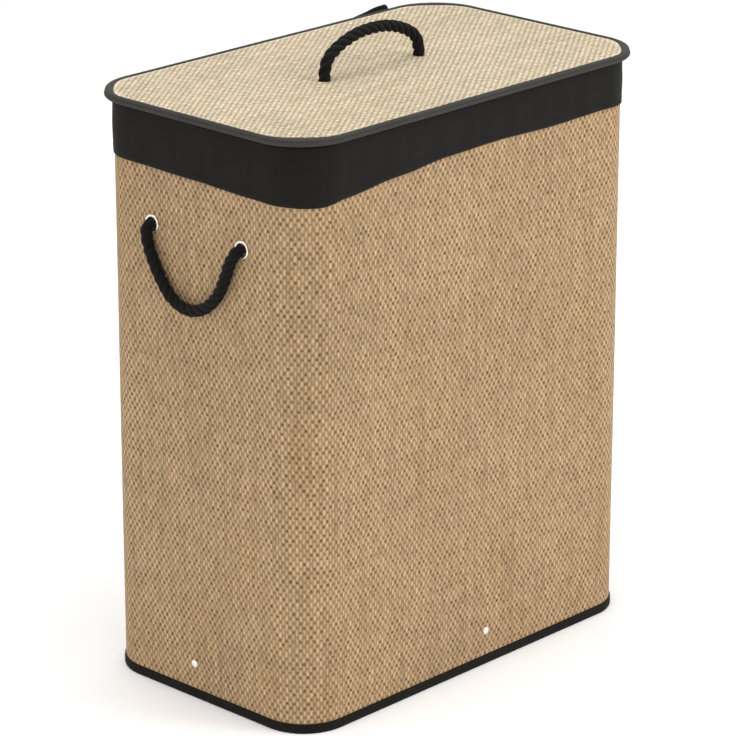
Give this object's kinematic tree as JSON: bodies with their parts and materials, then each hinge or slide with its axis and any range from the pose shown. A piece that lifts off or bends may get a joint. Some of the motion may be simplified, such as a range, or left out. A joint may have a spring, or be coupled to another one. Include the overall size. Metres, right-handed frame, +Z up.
{
  "type": "laundry hamper with lid",
  "caption": "Tall rounded-rectangle woven laundry hamper with a cloth liner and cuff, a hinged lid with a rope handle, and rope carrying handles at the sides.",
  "frame": {"origin": "on the floor, at the centre of the rounded-rectangle footprint", "axes": "+Z up, X along the long side, -Y the long front face, +Y the back with the lid's hinge"},
  "size_m": [0.5088, 0.3011, 0.6442],
  "materials": {
    "straw_wall": "woven twisted paper straw, warm tan, matt",
    "straw_lid": "woven twisted paper straw, pale tan, matt",
    "board": "plain greyboard",
    "binding": "black woven tape, matt",
    "rim": "charcoal cloth drawn tight over a wire, matt",
    "cuff_cloth": "charcoal plain-weave cloth, matt",
    "liner_cloth": "charcoal plain-weave cloth, matt",
    "strap": "black cloth, matt",
    "rope": "black twisted cotton rope, matt",
    "nickel": "bright nickel plate",
    "wire": "bare spring wire"
  },
  "bodies": {
    "hamper": {"wall_board": "board", "woven_skin": "straw_wall", "top_hoop": "wire", "bottom_hoop": "wire", "top_binding": "binding", "bottom_binding": "binding", "base_cover": "binding", "base_board": "board", "base_tabs": "binding", "base_rivets": "nickel", "rivet_washers": "wire", "liner_sides": "liner_cloth", "liner_floor": "liner_cloth", "liner_cuff": "cuff_cloth", "handle_eyelets": "nickel", "eyelet_washers": "wire", "left_handle_knots": "rope", "right_handle_knots": "rope", "hinge_straps_lower": "strap"},
    "lid": {"lid_board": "board", "lid_woven_top": "straw_lid", "lid_lining": "liner_cloth", "lid_rim_hoop": "wire", "lid_rim_binding": "rim", "lid_washers": "wire", "lid_handle_knots": "rope", "hinge_straps_upper": "strap"},
    "lid_handle": {"lid_handle_rope": "rope"},
    "left_handle": {"left_handle_rope": "rope"},
    "right_handle": {"right_handle_rope": "rope"}
  },
  "joints": [
    {"name": "lid_hinge", "type": "hinge", "parent": "hamper", "child": "lid", "pos_m": [0, 0.153, 0.592], "axis": [-1, 0, 0], "range_deg": [0, 245]},
    {"name": "lid_handle_tilt", "type": "hinge", "parent": "lid", "child": "lid_handle", "pos_m": [0, 0, 0.60485], "axis": [1, 0, 0], "range_deg": [-75, 75]},
    {"name": "left_handle_swing", "type": "hinge", "parent": "hamper", "child": "left_handle", "pos_m": [-0.24845, 0, 0.4802], "axis": [0, 1, 0], "range_deg": [0, 170]},
    {"name": "right_handle_swing", "type": "hinge", "parent": "hamper", "child": "right_handle", "pos_m": [0.24845, 0, 0.4802], "axis": [0, -1, 0], "range_deg": [0, 170]}
  ]
}
